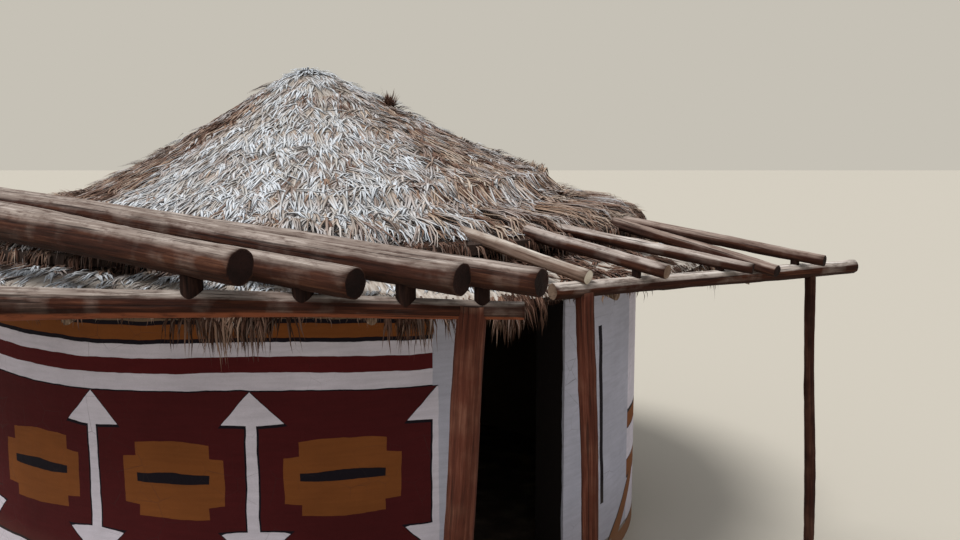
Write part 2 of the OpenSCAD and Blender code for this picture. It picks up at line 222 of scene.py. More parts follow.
# A cell starts where the corner motif ends.
curve.points.new(mural["corner"][1] / 360 + 0.5, mural["cornerCell"] / mural["cells"])
for point in curve.points:
    point.handle_type = "VECTOR"
cellCurve.mapping.update()
cell = addNode(tree, "ShaderNodeMath", {0: cellCurve, 1: float(mural["cells"])}, operation="MULTIPLY")
cellPlace = addNode(tree, "ShaderNodeMath", {0: cell}, operation="FRACT")
fromMiddle = addNode(tree, "ShaderNodeMath", {0: cellPlace, 1: 0.5}, operation="SUBTRACT")
middleSide = addNode(tree, "ShaderNodeMath", {0: fromMiddle}, operation="ABSOLUTE")
arrowSide = addNode(tree, "ShaderNodeMath", {0: 0.5, 1: middleSide}, operation="SUBTRACT")
cellCount = addNode(tree, "ShaderNodeMath", {0: cell}, operation="FLOOR")
stepTurn = addNode(tree, "ShaderNodeMath", {0: cellCount, 1: math.pi / 2, 2: math.pi / 2},
                   operation="MULTIPLY_ADD")
blockStep = addNode(tree, "ShaderNodeMath", {0: stepTurn}, operation="SINE")
# Each block sits a little off the middle of its cell, and a little higher or lower than the next.
blockShift = addNode(tree, "ShaderNodeMath", {0: blockStep, 1: mural["blockSway"], 2: mural["blockMiddle"]},
                     operation="MULTIPLY_ADD")
fromBlock = addNode(tree, "ShaderNodeMath", {0: fromMiddle, 1: blockShift}, operation="ADD")
blockSide = addNode(tree, "ShaderNodeMath", {0: fromBlock}, operation="ABSOLUTE")
blockHeight = addNode(tree, "ShaderNodeMath", {0: blockStep, 1: mural["blockDrop"], 2: plainHeight},
                      operation="MULTIPLY_ADD")
blockLevel = addNode(tree, "ShaderNodeMath", {0: blockHeight, 1: 1 / mural["height"]}, operation="MULTIPLY")

masks = {}
for name, outline in shapes.items():
    side, share = (blockSide, blockLevel) if name in ("block", "slot") else (arrowSide, level)
    stops = [(z / mural["height"], half) for z, half in outline]
    stops = [(stops[0][0] - mural["sharp"], 0.0)] + stops + [(stops[-1][0] + mural["sharp"], 0.0)]
    halfWidth = addNode(tree, "ShaderNodeValToRGB", {0: share}, stops)
    masks[name] = addNode(tree, "ShaderNodeMath", {0: side, 1: halfWidth}, operation="LESS_THAN")
bands = {}
for name, starts in bandSets.items():
    stops = [(z / mural["height"], mural[tint]) for z, tint in starts]
    ramp = addNode(tree, "ShaderNodeValToRGB", {0: level}, stops)
    ramp.color_ramp.interpolation = "CONSTANT"
    bands[name] = ramp.outputs[0]

belowBands = addNode(tree, "ShaderNodeMath", {0: height, 1: mural["panelTop"]}, operation="LESS_THAN")
panelTurn = addNode(tree, "ShaderNodeMath", {0: belowBands, 1: -mural["panelInset"], 2: degrees},
                    operation="MULTIPLY_ADD")
# Below the corner blocks a white triangle spreads towards the doorway behind a slanting ochre edge.
# A thin black line wanders down the wall between the doorway and the corner.
fromSlant = addNode(tree, "ShaderNodeMath", {0: height, 1: mural["slantLean"], 2: degrees},
                    operation="MULTIPLY_ADD")
lineSway = addNode(tree, "ShaderNodeMath", {0: height, 1: mural["lineLean"], 2: degrees},
                   operation="MULTIPLY_ADD")
inSpan = {}
for value, names in ((panelTurn, ("panel",)), (degrees, ("corner", "footBlock", "doorAngles")),
                     (fromSlant, ("slantEdge", "slantLine")), (lineSway, ("thinLine",)),
                     (height, ("slantHeights", "footHeights", "lineHeights"))):
    for name in names:
        low, high = mural[name]
        inSpan[name] = addNode(tree, "ShaderNodeMath", {0: value, 1: (low + high) / 2, 2: (high - low) / 2},
                               operation="COMPARE")
layers = [
    (masks["outline"], linear(mural["black"])),
    (masks["arrow"], linear(mural["white"])),
    (masks["block"], linear(mural["ochre"])),
    (masks["slot"], linear(mural["black"])),
    (inSpan["panel"], bands["panel"]),
    (inSpan["corner"], bands["corner"]),
]
for turns, heights, tint in (("slantEdge", "slantHeights", "ochre"), ("slantLine", "slantHeights", "black"),
                             ("footBlock", "footHeights", "ochre"), ("thinLine", "lineHeights", "black")):
    mask = addNode(tree, "ShaderNodeMath", {0: inSpan[turns], 1: inSpan[heights]}, operation="MULTIPLY")
    layers.append((mask, linear(mural[tint])))
paint = bands["around"]
for mask, tint in layers:
    paint = addNode(tree, "ShaderNodeMix", {0: mask, 6: paint, 7: tint}, data_type="RGBA").outputs[2]

# Brush strokes and stains: broad clouds, thin level strokes, 4 mm grit, cracks and a dusty foot
clouds = addNode(tree, "ShaderNodeTexNoise", {"Vector": place, "Scale": 2.2, "Detail": 6.0, "Roughness": 0.6})
strokePlace = addNode(tree, "ShaderNodeMapping", {"Vector": place, "Scale": (6.0, 6.0, 60.0)})
strokes = addNode(tree, "ShaderNodeTexNoise", {"Vector": strokePlace, "Scale": 1.0, "Detail": 4.0})
grit = addNode(tree, "ShaderNodeTexNoise", {"Vector": place, "Scale": 260.0, "Detail": 3.0})
for pattern, darkest, palest in ((clouds, 0.84, 1.10), (strokes, 0.92, 1.06), (grit, 0.94, 1.05)):
    shade = addNode(tree, "ShaderNodeMapRange", {"Value": pattern, "From Min": 0.3, "From Max": 0.7,
                                                 "To Min": darkest, "To Max": palest})
    paint = addNode(tree, "ShaderNodeVectorMath", {0: paint, "Scale": shade}, operation="SCALE").outputs[0]
cracks = addNode(tree, "ShaderNodeTexVoronoi", {"Vector": painted, "Scale": 7.0}, feature="DISTANCE_TO_EDGE")
crackLine = addNode(tree, "ShaderNodeMapRange", {"Value": cracks, "From Min": 0.0, "From Max": 0.012,
                                                 "To Min": 1.0, "To Max": 0.0})
crackSome = addNode(tree, "ShaderNodeMapRange", {"Value": clouds, "From Min": 0.5, "From Max": 0.62})
crackMask = addNode(tree, "ShaderNodeMath", {0: crackLine, 1: crackSome}, operation="MULTIPLY")
crackTone = addNode(tree, "ShaderNodeMath", {0: crackMask, 1: 0.5}, operation="MULTIPLY")
dust = addNode(tree, "ShaderNodeMapRange", {"Value": height, "From Min": 0.02, "From Max": 0.5,
                                            "To Min": 0.6, "To Max": 0.0})
dustPatchy = addNode(tree, "ShaderNodeMath", {0: dust, 1: clouds}, operation="MULTIPLY")
for mask, tint in ((crackTone, "crack"), (dustPatchy, "dust")):
    paint = addNode(tree, "ShaderNodeMix", {0: mask, 6: paint, 7: linear(mural[tint])},
                    data_type="RGBA").outputs[2]
# Inside, the clay stays bare, and the doorway's sides are near black.
earth = addNode(tree, "ShaderNodeMix", {0: clouds, 6: linear(mural["shadedClay"]), 7: linear(mural["clay"])},
                data_type="RGBA").outputs[2]
outside = addNode(tree, "ShaderNodeMath", {0: radius, 1: mural["wallRadius"] - mural["paintDepth"]},
                  operation="GREATER_THAN")
inReveal = addNode(tree, "ShaderNodeMath", {0: radius, 1: mural["wallRadius"] - mural["revealDepth"]},
                   operation="LESS_THAN")
inDoorway = addNode(tree, "ShaderNodeMath", {0: inSpan["doorAngles"], 1: inReveal}, operation="MULTIPLY")
skin = addNode(tree, "ShaderNodeMix", {0: outside, 6: earth, 7: paint}, data_type="RGBA").outputs[2]
skin = addNode(tree, "ShaderNodeMix", {0: inDoorway, 6: skin, 7: linear(mural["reveal"])},
               data_type="RGBA").outputs[2]
lumps = addNode(tree, "ShaderNodeTexNoise", {"Vector": place, "Scale": 9.0, "Detail": 8.0, "Roughness": 0.55})
relief = addNode(tree, "ShaderNodeMath", {0: crackMask, 1: -0.25, 2: lumps}, operation="MULTIPLY_ADD")
finishMaterial(tree, shader, skin, relief, 0.5, 0.012)
dress(wallMaterial, "wall_front", "wall_right_of_door", "wall_right_rear", "wall_rear", "wall_rear_left",
      "wall_left", "wall_front_left", "wall_over_door")
print("walls painted")

# Beaten earth: clay smeared by hand and trodden, matt brown with pale scuffs and shallow dents
earthMaterial, tree, shader = startMaterial("beaten earth", {"Roughness": 0.9})
place = addNode(tree, "ShaderNodeTexCoord").outputs["Object"]
scuffs = addNode(tree, "ShaderNodeTexNoise", {"Vector": place, "Scale": 6.0, "Detail": 8.0})
earthTone = addNode(tree, "ShaderNodeValToRGB", {0: scuffs}, [(0.30, "#40342a"), (0.52, "#5f4f41"),
                                                              (0.72, "#85735f")])
finishMaterial(tree, shader, earthTone.outputs[0], scuffs, 0.6, 0.01)
dress(earthMaterial, "floor", "threshold")


# Bare wood: sapling trunks with the bark off, greyed by sun on top and red-brown beneath. The pale top is
# partly a painted highlight and the dark underside partly painted shade; the belly is painted shade on most
# poles and a painted glow of light bounced from the ground on the front and left beams. It gives long grain
# streaks, drying checks and darker sawn ends with rings.
# Each grain pattern has its waves a metre across and along the pole, its detail and its roughness.
grainPatterns = {"streaks": ((60.0, 60.0, 2.6), 6.0, 0.62), "checks": ((120.0, 120.0, 2.0), 2.0, 0.5),
                 "flecks": ((38.0, 38.0, 12.0), 5.0, 0.7)}
ringWaves = 1300.0


def woodMaterial(name, look):
    material, tree, shader = startMaterial(name, {"Roughness": look["roughness"], "Specular IOR Level": 0.15})
    grain = addNode(tree, "ShaderNodeAttribute", attribute_name="grain").outputs["Vector"]
    sawn = addNode(tree, "ShaderNodeAttribute", attribute_name="sawn").outputs["Fac"]
    patterns = []
    for waves, detail, roughness in grainPatterns.values():
        patternPlace = addNode(tree, "ShaderNodeMapping", {"Vector": grain, "Scale": waves})
        patterns.append(addNode(tree, "ShaderNodeTexNoise", {"Vector": patternPlace, "Scale": 1.0,
                                                             "Detail": detail, "Roughness": roughness}))
    streaks, checks, flecks = patterns
    patches = addNode(tree, "ShaderNodeTexNoise", {"Vector": grain, "Scale": 7.0, "Detail": 4.0})
    facing = addNode(tree, "ShaderNodeNewGeometry").outputs["Normal"]
    up = addNode(tree, "ShaderNodeSeparateXYZ", {0: facing}).outputs[2]
    paintedTopLight = addNode(tree, "ShaderNodeMapRange", {"Value": up, "From Min": look["fadeFrom"],
                                                   "From Max": look["fadeTo"]})
    patchy = addNode(tree, "ShaderNodeMapRange", {"Value": patches, "From Min": 0.3, "From Max": 0.7,
                                                  "To Min": -0.22, "To Max": 0.22})
    # Painted highlight: faces that point up take the pale top colour, partly sun bleaching and partly light
    # falling on them.
    bleached = addNode(tree, "ShaderNodeMath", {0: paintedTopLight, 1: patchy}, operation="ADD", use_clamp=True)
    under = addNode(tree, "ShaderNodeValToRGB", {0: streaks},
                    [(0.30, look["underDark"]), (0.52, look["under"]), (0.72, look["underPale"])])
    top = addNode(tree, "ShaderNodeValToRGB", {0: streaks},
                  [(0.28, look["topDark"]), (0.50, look["top"]), (0.72, look["topPale"])])
    # Painted underside: shade beneath the pole, and on the front and left beams a glow of light bounced from
    # the ground.
    bellyShadeAndBounce = addNode(tree, "ShaderNodeMapRange", {"Value": up, "From Min": -0.42, "From Max": -0.62})
    fleckTone = addNode(tree, "ShaderNodeMapRange", {"Value": flecks, "From Min": 0.50, "From Max": 0.66,
                                                     "To Max": 0.62})
    checkLine = addNode(tree, "ShaderNodeMapRange", {"Value": checks, "From Min": 0.62, "From Max": 0.68})
    checkTone = addNode(tree, "ShaderNodeMath", {0: checkLine, 1: 0.7}, operation="MULTIPLY")
    flat = addNode(tree, "ShaderNodeVectorMath", {0: grain, 1: (1.0, 1.0, 0.0)}, operation="MULTIPLY")
    ringPlace = addNode(tree, "ShaderNodeVectorMath", {0: flat}, operation="LENGTH").outputs["Value"]
    ringTurn = addNode(tree, "ShaderNodeMath", {0: ringPlace, 1: ringWaves}, operation="MULTIPLY")
    rings = addNode(tree, "ShaderNodeMath", {0: ringTurn}, operation="SINE")
    ringNoise = addNode(tree, "ShaderNodeMath", {0: rings, 1: 0.12, 2: patches}, operation="MULTIPLY_ADD")
    endTone = addNode(tree, "ShaderNodeValToRGB", {0: ringNoise},
                      [(0.35, look["endDark"]), (0.65, look["end"])])
    wood = under.outputs[0]
    for mask, tint in ((bleached, top), (bellyShadeAndBounce, linear(look["bellyShadeAndBounce"])), (fleckTone, linear(look["under"])),
                       (checkTone, linear("#1d1412")), (sawn, endTone)):
        wood = addNode(tree, "ShaderNodeMix", {0: mask, 6: wood, 7: tint}, data_type="RGBA").outputs[2]
    grooves = addNode(tree, "ShaderNodeMath", {0: checkLine, 1: -0.6, 2: streaks}, operation="MULTIPLY_ADD")
    grooves = addNode(tree, "ShaderNodeMath", {0: flecks, 1: 0.6, 2: grooves}, operation="MULTIPLY_ADD")
    finishMaterial(tree, shader, wood, grooves, 0.9, 0.006)
    return material


# The long logs' sawn ends are nearly black, partly old end grain and partly painted shade.
logLook = {"underDark": "#1d0f0b", "under": "#3f2319", "underPale": "#63402e", "topDark": "#66544b",
           "top": "#94867c", "topPale": "#c9bcb2", "endDark": "#120908", "end": "#2b1815",
           "bellyShadeAndBounce": "#2c1811", "fadeFrom": 0.42, "fadeTo": 0.86, "roughness": 0.85}
# On the front and left beams the orange belly is a painted glow of light bounced from the ground.
beamLook = dict(logLook, underDark="#1a0d0a", under="#35190f", underPale="#5b3524", topPale="#dbd1c6",
                bellyShadeAndBounce="#7b442c", fadeFrom=0.42, fadeTo=0.80)
agedLook = dict(logLook, topDark="#55423a", top="#8b786d", topPale="#bdaea3", fadeFrom=0.2, fadeTo=0.62)
postLook = dict(logLook, underDark="#301710", under="#522a1e", underPale="#734636", top="#7c5846",
                topPale="#9a7966", topDark="#573829", bellyShadeAndBounce="#4a281b", fadeFrom=0.3, fadeTo=1.2)
# Each look's top colours, faded in by fadeFrom and fadeTo, are partly painted sunlight on the upper side.
woodLooks = {
    "bleached log with painted light and shade": logLook,
    "bleached beam with painted light and shade": beamLook,
    # The right beam's very pale top is painted sunlight falling between the poles' shadows.
    "right beam": dict(beamLook, bellyShadeAndBounce="#2c1811", end="#85705f", endDark="#5a463a", topDark="#85736a",
                       top="#bfb2a7", topPale="#f0e8df", fadeFrom=0.24, fadeTo=0.64),
    "pale pole": dict(logLook, underDark="#4c382e", under="#7b6558", underPale="#9c897b", topDark="#978679",
                      top="#bcafa2", topPale="#ddd5ca", bellyShadeAndBounce="#5a4337", endDark="#b9ab99", end="#e6dccb"),
    "aged pole": agedLook,
    "bleached pole with painted light and shade": dict(logLook, topDark="#6d5c54", top="#a3958c", topPale="#cbbfb6", endDark="#6e5748",
                          end="#a08978", fadeFrom=0.12, fadeTo=0.55),
    "sunlit pole": dict(agedLook, topDark="#75645b", top="#b3a59b", topPale="#e4dcd4"),
    "peeled post": postLook,
    "peeled slim post": dict(postLook, underDark="#1c0d09", under="#321811", underPale="#4b2b20"),
}
woods = {name: woodMaterial(name, look) for name, look in woodLooks.items()}

# A pole's lengths are in metres, and its noises have so many waves a metre along x, y and z.
poleShape = {"around": 36, "ring": 0.045, "bend": 0.0036, "mostBend": 0.011, "lump": 0.0065, "ridge": 0.0034,
             "lumpWaves": (5, 5, 1.6), "ridgeWaves": (42, 42, 1.1), "roughWaves": (30, 30, 22),
             "roughShare": 0.5, "knot": 0.007, "knotSpacing": 0.5, "knotAlong": 0.0020, "knotAround": 0.0008,
             "knotLimit": 9, "knotPlaces": (-0.45, 0.45), "knotSizes": (0.5, 1.0), "bends": (0.7, 1.5),
             "fullAt": 1.2, "rim": 0.10, "endRough": 0.006, "endWaves": (20, 20, 0), "shifts": (-40, 40),
             "leastRings": 3}
postShape = dict(poleShape, knot=0.0035, lump=0.0045)
endFinding = {"rounds": 3, "capDepth": 0.012, "footDepth": 0.001, "upperShare": 0.6}


def endCentres(name):  # the middles and radii of the two round ends of a straight pole's node
    points = np.array([v.co for v in nodes[name].data.vertices])
    middle = (points.min(0) + points.max(0)) / 2
    axis = np.linalg.svd(points - points.mean(0), full_matrices=False)[2][0]
    for _ in range(endFinding["rounds"]):
        along = (points - middle) @ axis
        ends = []
        for side in (-1, 1):
            cap = points[along * side > (along * side).max() - endFinding["capDepth"]]
            centre = (cap.min(0) + cap.max(0)) / 2
            reach = np.linalg.norm(np.cross(cap - centre, axis), axis=1).max()
            ends.append((Vector(centre), float(reach)))
        axis = np.array((ends[1][0] - ends[0][0]).normalized())
    return ends


def postEnds(name):  # a post leans along X only, so its sides' outermost points give its lean
    points = np.array([v.co for v in nodes[name].data.vertices])
    foot = points[points[:, 2] < endFinding["footDepth"]]
    footMiddle = (foot.min(0) + foot.max(0)) / 2
    upper = points[points[:, 2] > points[:, 2].max() * endFinding["upperShare"]]
    left, right = upper[upper[:, 0].argmin()], upper[upper[:, 0].argmax()]
    high = (left + right) / 2
    top = float(points[:, 2].max())
    lean = (high[0] - footMiddle[0]) / high[2]
    headMiddle = Vector((footMiddle[0] + lean * top, footMiddle[1], top))
    reach = float(foot[:, 1].max() - foot[:, 1].min()) / 2
    return [(Vector(footMiddle), reach), (headMiddle, reach)]


def waveAt(spot, waves, shift):  # smooth noise, with so many waves a metre along each axis
    return noise.noise(Vector([at * count for at, count in zip(spot, waves)]) + shift)


def makePole(name, ends, material, seed, shape, stood):
    (start, startRadius), (end, endRadius) = ends
    run = end - start
    length = run.length
    rng = np.random.default_rng(seed)
    bm = bmesh.new()
    bmesh.ops.create_cone(bm, cap_ends=True, cap_tris=False, segments=shape["around"], radius1=startRadius,
                          radius2=endRadius, depth=length)
    sides = [edge for edge in bm.edges if abs(edge.verts[0].co.z - edge.verts[1].co.z) > length / 2]
    bmesh.ops.subdivide_edges(bm, edges=sides, use_grid_fill=True,
                              cuts=max(shape["leastRings"], int(length / shape["ring"])))
    caps = [face for face in bm.faces if abs(face.normal.z) > 0.9]
    bmesh.ops.inset_individual(bm, faces=caps, thickness=min(startRadius, endRadius) * shape["rim"])
    grain = bm.verts.layers.float_vector.new("grain")
    sawn = bm.verts.layers.float.new("sawn")
    for cap in caps:
        for vert in cap.verts:
            vert[sawn] = 1.0
    for vert in bmesh.ops.poke(bm, faces=caps)["verts"]:
        vert[sawn] = 1.0
    shift = Vector(rng.uniform(*shape["shifts"], 3))
    knotCount = max(1, int(length / shape["knotSpacing"]))
    knots = [(rng.uniform(*shape["knotPlaces"]) * length, rng.uniform(-math.pi, math.pi),
              rng.uniform(*shape["knotSizes"])) for _ in range(knotCount)]
    bendTurn = rng.uniform(0, 2 * math.pi)
    bends = rng.uniform(*shape["bends"])
    sway = min(shape["bend"] * length, shape["mostBend"])
    for vert in bm.verts:
        spot = tuple(vert.co)
        x, y, z = spot
        vert[grain] = vert.co + shift
        reach = math.hypot(x, y)
        if reach > 1e-5:
            outward = Vector((x / reach, y / reach, 0))
            lump = waveAt(spot, shape["lumpWaves"], shift) * shape["lump"]
            ridge = waveAt(spot, shape["ridgeWaves"], shift) * shape["ridge"]
            rough = waveAt(spot, shape["roughWaves"], shift) * shape["ridge"] * shape["roughShare"]
            swell = 0.0
            for knotZ, knotTurn, size in knots:
                turn = (math.atan2(y, x) - knotTurn + math.pi) % (2 * math.pi) - math.pi
                off = (z - knotZ) ** 2 / shape["knotAlong"] + (turn * reach) ** 2 / shape["knotAround"]
                if off < shape["knotLimit"]:
                    swell += shape["knot"] * size * math.exp(-off)
            full = min(1.0, reach / max(startRadius, endRadius) * shape["fullAt"])
            vert.co += outward * ((lump + ridge + rough + swell) * full)
        share = z / length + 0.5
        bend = math.sin(share * math.pi * 2 * bends) * sway * math.sin(share * math.pi)
        vert.co.x += bend * math.cos(bendTurn)
        vert.co.y += bend * math.sin(bendTurn)
        if vert[sawn] > 0.5:  # an axe-cut or sawn face is never quite flat
            vert.co.z += waveAt(spot, shape["endWaves"], shift) * shape["endRough"]
    middle = (start + end) / 2
    turn = run.to_track_quat("Z", "Y").to_matrix().to_4x4()
    bmesh.ops.transform(bm, matrix=Matrix.Translation(middle) @ turn, verts=bm.verts)
    for vert in bm.verts:  # a post's foot stays on the ground
        vert.co.z = max(vert.co.z, 0.0)
    for face in bm.faces:
        face.smooth = True
    mesh = bpy.data.meshes.new(name)
    bm.to_mesh(mesh)
    bm.free()
    addPiece(name, mesh, material, "weathered_log", stood)


logs = ["long_log_1", "long_log_2", "long_log_3", "long_log_4", "short_log_1", "short_log_2", "short_log_3",
        "short_log_4", "short_log_5"]
beams = ["front_beam", "right_beam", "left_beam"]
posts = ["front_post_right", "front_post_left", "right_post_near", "right_post_far", "left_post_near",
         "left_post_far"]
finishes = {"front_beam": "bleached beam with painted light and shade", "left_beam": "bleached beam with painted light and shade", "right_beam": "right beam",
            "short_log_1": "pale pole", "short_log_2": "bleached pole with painted light and shade", "short_log_3": "sunlit pole",
            "short_log_4": "aged pole", "short_log_5": "aged pole", "right_post_far": "peeled slim post"}
firstSeeds = {"logs": 11, "posts": 51}
for number, name in enumerate(logs + beams):
    finish = woods[finishes.get(name, "bleached log with painted light and shade")]
    makePole("bare_" + name, endCentres(name), finish, firstSeeds["logs"] + number, poleShape, name)
for number, name in enumerate(posts):
    finish = woods[finishes.get(name, "peeled post")]
    makePole("peeled_" + name, postEnds(name), finish, firstSeeds["posts"] + number, postShape, name)
print("logs, beams and posts made")

# Packing blocks and roof poles keep their solids; their grain runs on object coordinates.
# Old wood: dull, with a faint fibrous streak. In the blocks, the lintel and the wall plate it is painted
# nearly black as shade; in the thin roof poles it is bleached to a greyish brown, whose tails stand out in
# the sun.
oldAndShadedWoods = {
    "packing wood in painted shade": (("#120a08", "#21130f", "#38251e"), ("packing_blocks", "lintel", "wall_plate")),
    "bleached roof pole": (("#4a382d", "#7b6757", "#ab9887"), ("crown_hoop", "battens", "rafters")),
}
for name, (tints, dressed) in oldAndShadedWoods.items():
    oldAndShadedWood, tree, shader = startMaterial(name, {"Roughness": 0.9, "Specular IOR Level": 0.1})
    place = addNode(tree, "ShaderNodeTexCoord").outputs["Object"]
    fibrePlace = addNode(tree, "ShaderNodeMapping", {"Vector": place, "Scale": (90.0, 90.0, 9.0)})
    fibres = addNode(tree, "ShaderNodeTexNoise", {"Vector": fibrePlace, "Scale": 1.0, "Detail": 5.0})
    fibreTone = addNode(tree, "ShaderNodeValToRGB", {0: fibres}, list(zip((0.3, 0.52, 0.75), tints)))
    finishMaterial(tree, shader, fibreTone.outputs[0], fibres, 0.7, 0.004)
    dress(oldAndShadedWood, *dressed)

# Thatch body: the imported stems under the loose straws. It gives bleached streaks that run downhill,
# and is painted dark brown as shade where it faces down and under the edge of the upper eave.
thatchLook = {"stemWaves": (150.0, 7.0, 7.0), "dark": "#33231b", "paleFacing": 0.55, "darkFacing": 0.25,
              "eaveStarts": (1.72, 1.86), "eaveEnds": (2.26, 2.16)}
thatchMaterial, tree, shader = startMaterial("packed grass thatch", {"Roughness": 0.95})
place = addNode(tree, "ShaderNodeTexCoord").outputs["Object"]
across, inwards, tall = addNode(tree, "ShaderNodeSeparateXYZ", {0: place}).outputs
turned = addNode(tree, "ShaderNodeMath", {0: across, 1: inwards}, operation="ARCTAN2")
plan = addNode(tree, "ShaderNodeVectorMath", {0: place, 1: (1.0, 1.0, 0.0)}, operation="MULTIPLY")
reach = addNode(tree, "ShaderNodeVectorMath", {0: plan}, operation="LENGTH").outputs["Value"]
stemPlace = addNode(tree, "ShaderNodeCombineXYZ", {0: turned, 1: reach, 2: tall})
stemScale = addNode(tree, "ShaderNodeMapping", {"Vector": stemPlace, "Scale": thatchLook["stemWaves"]})
stems = addNode(tree, "ShaderNodeTexNoise", {"Vector": stemScale, "Scale": 1.0, "Detail": 5.0})
stemTone = addNode(tree, "ShaderNodeValToRGB", {0: stems},
                   [(0.30, "#8e7e70"), (0.52, "#bcb1a5"), (0.74, "#dcd6ce")])
facing = addNode(tree, "ShaderNodeNewGeometry").outputs["Normal"]
facingUp = addNode(tree, "ShaderNodeSeparateXYZ", {0: facing}).outputs[2]
underside = addNode(tree, "ShaderNodeMapRange", {"Value": facingUp, "From Min": thatchLook["paleFacing"],
                                                 "From Max": thatchLook["darkFacing"]})
nearEave, underEave = [
    addNode(tree, "ShaderNodeMapRange", {"Value": reach, "From Min": start, "From Max": end})
    for start, end in (thatchLook["eaveStarts"], thatchLook["eaveEnds"])]
eaveBand = addNode(tree, "ShaderNodeMath", {0: nearEave, 1: underEave}, operation="MULTIPLY")
shaded = addNode(tree, "ShaderNodeMath", {0: underside, 1: eaveBand}, operation="MAXIMUM")
stemTone = addNode(tree, "ShaderNodeMix", {0: shaded, 6: stemTone, 7: linear(thatchLook["dark"])},
                   data_type="RGBA")
finishMaterial(tree, shader, stemTone.outputs[2], stems, 1.0, 0.012)
dress(thatchMaterial, "thatch_cap", "thatch_upper_course", "thatch_eave_course", "thatch_skirt")

# Weathered grass: loose stems bleached by the sun to a bluish cream and brown where they are older; the brown
# also stands for painted shade under the eave, on the flanks and at the skirt's edge, paler tones stand for
# painted sunlight on the skirt's top, and each stem is painted darker near the root as shade.
# It gives a shaggy mass of pale strands over dark gaps.
strawMaterial, tree, shader = startMaterial("bleached grass", {"Roughness": 0.75, "Specular IOR Level": 0.2})
strand = addNode(tree, "ShaderNodeAttribute", attribute_name="strand").outputs["Vector"]
strandTone, strandShare, strandAgeAndShade = addNode(tree, "ShaderNodeSeparateXYZ", {0: strand}).outputs
young = addNode(tree, "ShaderNodeValToRGB", {0: strandTone},
                [(0.0, "#b1a397"), (0.25, "#cac6c0"), (0.5, "#d2d5d7"), (0.75, "#dbe0e5"), (1.0, "#e9eef3")])
old = addNode(tree, "ShaderNodeValToRGB", {0: strandTone},
              [(0.0, "#40281c"), (0.35, "#76584a"), (0.7, "#a28875"), (1.0, "#c9b8a6")])
aged = addNode(tree, "ShaderNodeMix", {0: strandAgeAndShade, 6: young, 7: old}, data_type="RGBA")
# Painted shade: each stem darkens towards its root, where the stems above cover it.
paintedRootShade = addNode(tree, "ShaderNodeValToRGB", {0: strandShare}, [(0.0, "#d6c6b7"), (0.55, "#ffffff")])
strawTone = addNode(tree, "ShaderNodeMix", {0: 1.0, 6: aged.outputs[2], 7: paintedRootShade}, data_type="RGBA",
                    blend_type="MULTIPLY")
tree.links.new(strawTone.outputs[2], shader.inputs["Base Color"])
print("materials made")

# Straws: each is a closed bent blade of three-sided rings that ends in a point.
bladeShape = {"widths": (1.0, 0.8, 0.0), "thickness": 0.3}
castFrom = 3.4  # a height above the peak, from which rays find the thatch
# How one stem differs from its tuft, and how it bends and lies
stemShape = {"yaw": 6, "length": (0.75, 1.15), "lift": (0.002, 0.008), "swing": (0.7, 1.3), "tone": 0.12,
             "ageAndShade": 0.12, "lowShare": 0.12, "lowAge": 0.6, "inset": 0.004, "slack": 0.4, "clear": 0.003,
             "arch": 0.94}
# Both flanks are browner than the front and the rear, partly as older straw and partly as painted shade where
# the light grazes the roof: each has the plan angles in degrees over which it fades in, the distances from
# the axis over which it does so, and what it adds to a stem's age and shade.
flanks = {"right": ((20, 48), (0.15, 0.6), 0.92), "left": ((28, 44), (0.12, 0.3), 1.2), "fadeOut": (95, 145),
          "leftTone": 0.2}
patchLook = {"size": 0.34, "middle": 0.55, "ageAndShade": 1.1, "fineSize": 0.09, "fineSeed": 3, "fineAge": 1.6,
             "fineTone": 0.5, "tone": (0.58, 0.2), "ageSpread": 0.25, "seeds": 7, "seedStep": 17.3}
shadeLook = {"fadeOut": (58, 70), "ageAndShade": 1.7, "tone": 0.8}


def thatchSurface(names):
    verts, faces = [], []
    for name in names:
        mesh = nodes[name].data
        base = len(verts)
        verts += [v.co for v in mesh.vertices]
        faces += [[base + i for i in polygon.vertices] for polygon in mesh.polygons]
    return BVHTree.FromPolygons(verts, faces)


def heightsOn(surface, plan, fallback):
    down = Vector((0, 0, -1))
    found = np.empty(len(plan))
    for i, (x, y) in enumerate(plan):
        hit = surface.ray_cast(Vector((x, y, castFrom)), down)[0]
        found[i] = hit.z if hit else fallback
    return found


